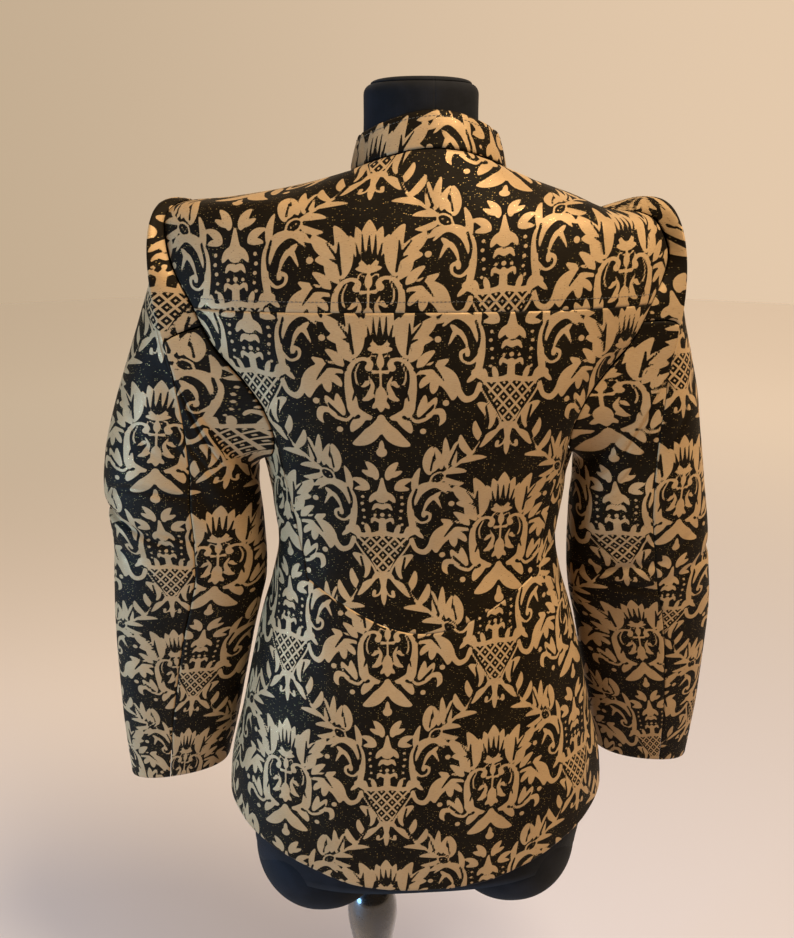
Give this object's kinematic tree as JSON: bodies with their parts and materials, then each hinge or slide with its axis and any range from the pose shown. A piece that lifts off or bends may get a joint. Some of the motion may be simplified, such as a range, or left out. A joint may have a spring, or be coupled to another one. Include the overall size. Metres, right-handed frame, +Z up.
{
  "type": "damask jacket on a limbless dress form",
  "caption": "A fitted stand-collar jacket in black and gold damask with box sleeve heads, worn hollow on a black limbless dress form with a turned stem and round base",
  "frame": {"origin": "on the floor, at the centre of the base's underside, under the stem", "axes": "+Z up, -Y to the front of the jacket, +X to the wearer's left"},
  "size_m": [0.6439, 0.308, 1.3064],
  "materials": {
    "damask_cloth": "jacquard weave: satin gold-tan damask on a near-black ground with fine gold metal thread",
    "button": "plain black, polished",
    "form_jersey": "black knitted jersey, stretched smooth",
    "stained_wood": "turned wood, stained black and lacquered"
  },
  "bodies": {
    "root": {"back_yoke": "damask_cloth", "back_body": "damask_cloth", "back_skirt": "damask_cloth", "collar": "damask_cloth", "side_front_L": "damask_cloth", "front_L": "damask_cloth", "front_skirt_L": "damask_cloth", "upper_sleeve_L": "damask_cloth", "under_sleeve_L": "damask_cloth", "side_front_R": "damask_cloth", "front_R": "damask_cloth", "front_skirt_R": "damask_cloth", "upper_sleeve_R": "damask_cloth", "under_sleeve_R": "damask_cloth", "button_1": "button", "button_2": "button", "button_3": "button", "button_4": "button", "button_5": "button", "button_6": "button", "button_7": "button", "form_torso": "form_jersey", "neck_cap": "form_jersey", "stand_stem": "stained_wood", "stand_base": "stained_wood"}
  },
  "joints": []
}
